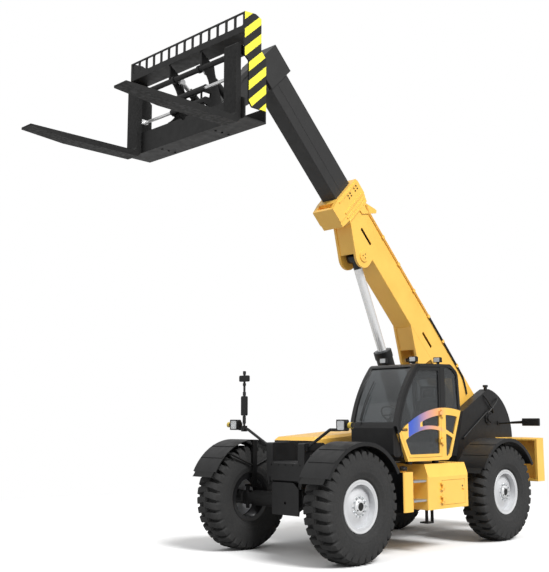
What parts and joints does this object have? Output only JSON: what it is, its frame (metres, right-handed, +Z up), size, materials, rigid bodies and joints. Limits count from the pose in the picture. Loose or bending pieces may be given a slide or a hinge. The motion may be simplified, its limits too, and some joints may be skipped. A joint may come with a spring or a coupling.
{
  "type": "telehandler",
  "caption": "Heavy telehandler: raised telescopic boom with a wide fork carriage, side cab, side engine hood, counterweight and four steered wheels.",
  "frame": {"origin": "on the ground under the centre of the overall box", "axes": "+X forward towards the forks, +Y to the driver's left, +Z up"},
  "size_m": [9.7299, 2.842, 7.8708],
  "materials": {
    "body_yellow": "construction yellow enamel, semi-gloss",
    "boom_dark": "dark grey satin enamel",
    "frame_dark": "dark frame paint, satin",
    "carriage_grey": "dark grey enamel, worn",
    "fork_steel": "dark forged steel",
    "chrome_rod": "hard chrome, polished",
    "cylinder_black": "black enamel, semi-gloss",
    "cast_black": "cast iron, painted black",
    "tyre_rubber": "moulded rubber",
    "rim_paint": "silver-white enamel on pressed steel",
    "cab_glass": "clear safety glass",
    "trim_black": "moulded, fine grain",
    "rung_zinc": "zinc-plated tread, perforated",
    "seat_cloth": "coarse woven seat cloth over foam",
    "lamp": "clear lamp lens in a black housing"
  },
  "bodies": {
    "chassis": {"chassis": "frame_dark", "counterweight": "body_yellow", "engine_block": "cast_black", "engine_bay": "body_yellow", "step_box": "body_yellow", "low_step": "trim_black", "step_rungs": "rung_zinc", "cab_frame": "body_yellow", "cab_glass": "cab_glass", "cab_fascia": "trim_black", "cab_interior": "trim_black", "driver_seat": "seat_cloth", "work_lamps": "lamp", "front_axle": "cast_black", "rear_axle": "cast_black", "drive_line": "cast_black", "headlamps": "lamp", "mirrors": "trim_black"},
    "hood": {"engine_hood": "body_yellow"},
    "box_door": {"step_box_door": "body_yellow"},
    "door": {"cab_door": "body_yellow", "cab_door_glass": "cab_glass"},
    "boom": {"boom_base": "body_yellow"},
    "boom_extension": {"boom_inner": "boom_dark"},
    "lift_cylinder": {"lift_barrel": "cylinder_black"},
    "lift_piston": {"lift_rod": "chrome_rod"},
    "levelling_cylinder": {"levelling_barrel": "cylinder_black"},
    "levelling_piston": {"levelling_rod": "chrome_rod"},
    "head": {"tilt_head": "boom_dark"},
    "tilt_cylinders": {"tilt_barrel": "cylinder_black"},
    "tilt_pistons": {"tilt_rod": "chrome_rod"},
    "fork_carriage": {"carriage": "carriage_grey", "positioner_barrels": "cylinder_black"},
    "left_fork": {"fork_left": "fork_steel", "positioner_rod_left": "chrome_rod"},
    "right_fork": {"fork_right": "fork_steel", "positioner_rod_right": "chrome_rod"},
    "steering_front_left": {"knuckle_front_left": "cast_black", "fender_front_left": "trim_black"},
    "wheel_front_left": {"tyre_front_left": "tyre_rubber", "rim_front_left": "rim_paint"},
    "steering_front_right": {"knuckle_front_right": "cast_black", "fender_front_right": "trim_black"},
    "wheel_front_right": {"tyre_front_right": "tyre_rubber", "rim_front_right": "rim_paint"},
    "steering_rear_left": {"knuckle_rear_left": "cast_black", "fender_rear_left": "trim_black"},
    "wheel_rear_left": {"tyre_rear_left": "tyre_rubber", "rim_rear_left": "rim_paint"},
    "steering_rear_right": {"knuckle_rear_right": "cast_black", "fender_rear_right": "trim_black"},
    "wheel_rear_right": {"tyre_rear_right": "tyre_rubber", "rim_rear_right": "rim_paint"}
  },
  "joints": [
    {"name": "steer_front_left", "type": "hinge", "parent": "chassis", "child": "steering_front_left", "pos_m": [0.745, 1.02, 0.8075], "axis": [0, 0, 1], "range_deg": [-32, 32]},
    {"name": "spin_front_left", "type": "hinge", "parent": "steering_front_left", "child": "wheel_front_left", "pos_m": [0.745, 1.141, 0.8075], "axis": [0, 1, 0], "continuous": true},
    {"name": "steer_front_right", "type": "hinge", "parent": "chassis", "child": "steering_front_right", "pos_m": [0.745, -1.02, 0.8075], "axis": [0, 0, 1], "range_deg": [-32, 32]},
    {"name": "spin_front_right", "type": "hinge", "parent": "steering_front_right", "child": "wheel_front_right", "pos_m": [0.745, -1.141, 0.8075], "axis": [0, 1, 0], "continuous": true},
    {"name": "steer_rear_left", "type": "hinge", "parent": "chassis", "child": "steering_rear_left", "pos_m": [-3.09, 1.02, 0.8075], "axis": [0, 0, 1], "range_deg": [-32, 32]},
    {"name": "spin_rear_left", "type": "hinge", "parent": "steering_rear_left", "child": "wheel_rear_left", "pos_m": [-3.09, 1.141, 0.8075], "axis": [0, 1, 0], "continuous": true},
    {"name": "steer_rear_right", "type": "hinge", "parent": "chassis", "child": "steering_rear_right", "pos_m": [-3.09, -1.02, 0.8075], "axis": [0, 0, 1], "range_deg": [-32, 32]},
    {"name": "spin_rear_right", "type": "hinge", "parent": "steering_rear_right", "child": "wheel_rear_right", "pos_m": [-3.09, -1.141, 0.8075], "axis": [0, 1, 0], "continuous": true},
    {"name": "boom_lift", "type": "hinge", "parent": "chassis", "child": "boom", "pos_m": [-4.023, 0, 2.06], "axis": [0, -1, 0], "range_deg": [-46, 15]},
    {"name": "boom_telescope", "type": "slide", "parent": "boom", "child": "boom_extension", "axis": [0.7071, 0, 0.7071], "range_m": [-2.06, 2.2]},
    {"name": "lift_rod_swing", "type": "hinge", "parent": "boom", "child": "lift_piston", "pos_m": [-0.75687, 0, 4.74771], "axis": [0, -1, 0], "range_deg": [-7.9, 3.25]},
    {"name": "lift_rod_slide", "type": "slide", "parent": "lift_piston", "child": "lift_cylinder", "axis": [-0.4107, 0, -0.9118], "range_m": [-1.459, 0.4825]},
    {"name": "levelling_cylinder_swing", "type": "hinge", "parent": "chassis", "child": "levelling_cylinder", "pos_m": [-3.223, 0, 1.33], "axis": [0, -1, 0], "range_deg": [-48.73, 16.56]},
    {"name": "levelling_rod_slide", "type": "slide", "parent": "levelling_cylinder", "child": "levelling_piston", "axis": [0.4644, 0, 0.8856], "range_m": [-0.746, 0.25]},
    {"name": "head_levelling", "type": "hinge", "parent": "boom_extension", "child": "head", "pos_m": [2.24692, 0, 6.62013], "axis": [0, -1, 0], "range_deg": [-16, 47]},
    {"name": "carriage_tilt", "type": "hinge", "parent": "head", "child": "fork_carriage", "pos_m": [2.55992, 0, 6.20013], "axis": [0, 1, 0], "range_deg": [-10, 30]},
    {"name": "tilt_cylinder_swing", "type": "hinge", "parent": "head", "child": "tilt_cylinders", "pos_m": [2.30992, 0, 6.60013], "axis": [0, 1, 0], "range_deg": [-10.38, 29.12]},
    {"name": "tilt_rod_slide", "type": "slide", "parent": "tilt_cylinders", "child": "tilt_pistons", "axis": [0.8059, 0, 0.5921], "range_m": [-0.0925, 0.2575]},
    {"name": "fork_left_shift", "type": "slide", "parent": "fork_carriage", "child": "left_fork", "axis": [0, 1, 0], "range_m": [-0.59, 0]},
    {"name": "fork_right_shift", "type": "slide", "parent": "fork_carriage", "child": "right_fork", "axis": [0, -1, 0], "range_m": [-0.59, 0]},
    {"name": "cab_door_swing", "type": "hinge", "parent": "chassis", "child": "door", "pos_m": [-1.25, 1.34, 1.9], "axis": [0, 0, 1], "range_deg": [0, 95]},
    {"name": "box_door_swing", "type": "hinge", "parent": "chassis", "child": "box_door", "pos_m": [-1.17, 1.382, 0.9], "axis": [0, 0, -1], "range_deg": [0, 100]},
    {"name": "hood_swing", "type": "hinge", "parent": "chassis", "child": "hood", "pos_m": [-2.17, 0, 1.88], "axis": [0, -1, 0], "range_deg": [0, 50]}
  ],
  "couplings": [
    {"joint": "steer_front_right", "follows": "steer_front_left", "ratio": 1},
    {"joint": "steer_rear_right", "follows": "steer_rear_left", "ratio": 1},
    {"joint": "lift_rod_swing", "follows": "boom_lift", "ratio": 0.15},
    {"joint": "lift_rod_slide", "follows": "boom_lift", "m_per_rad": 1.8048},
    {"joint": "levelling_cylinder_swing", "follows": "boom_lift", "ratio": 1.0375},
    {"joint": "levelling_rod_slide", "follows": "boom_lift", "m_per_rad": 0.9167},
    {"joint": "head_levelling", "follows": "boom_lift", "ratio": -1},
    {"joint": "tilt_cylinder_swing", "follows": "carriage_tilt", "ratio": 0.9375},
    {"joint": "tilt_rod_slide", "follows": "carriage_tilt", "m_per_rad": 0.4727},
    {"joint": "fork_right_shift", "follows": "fork_left_shift", "ratio": 1}
  ]
}
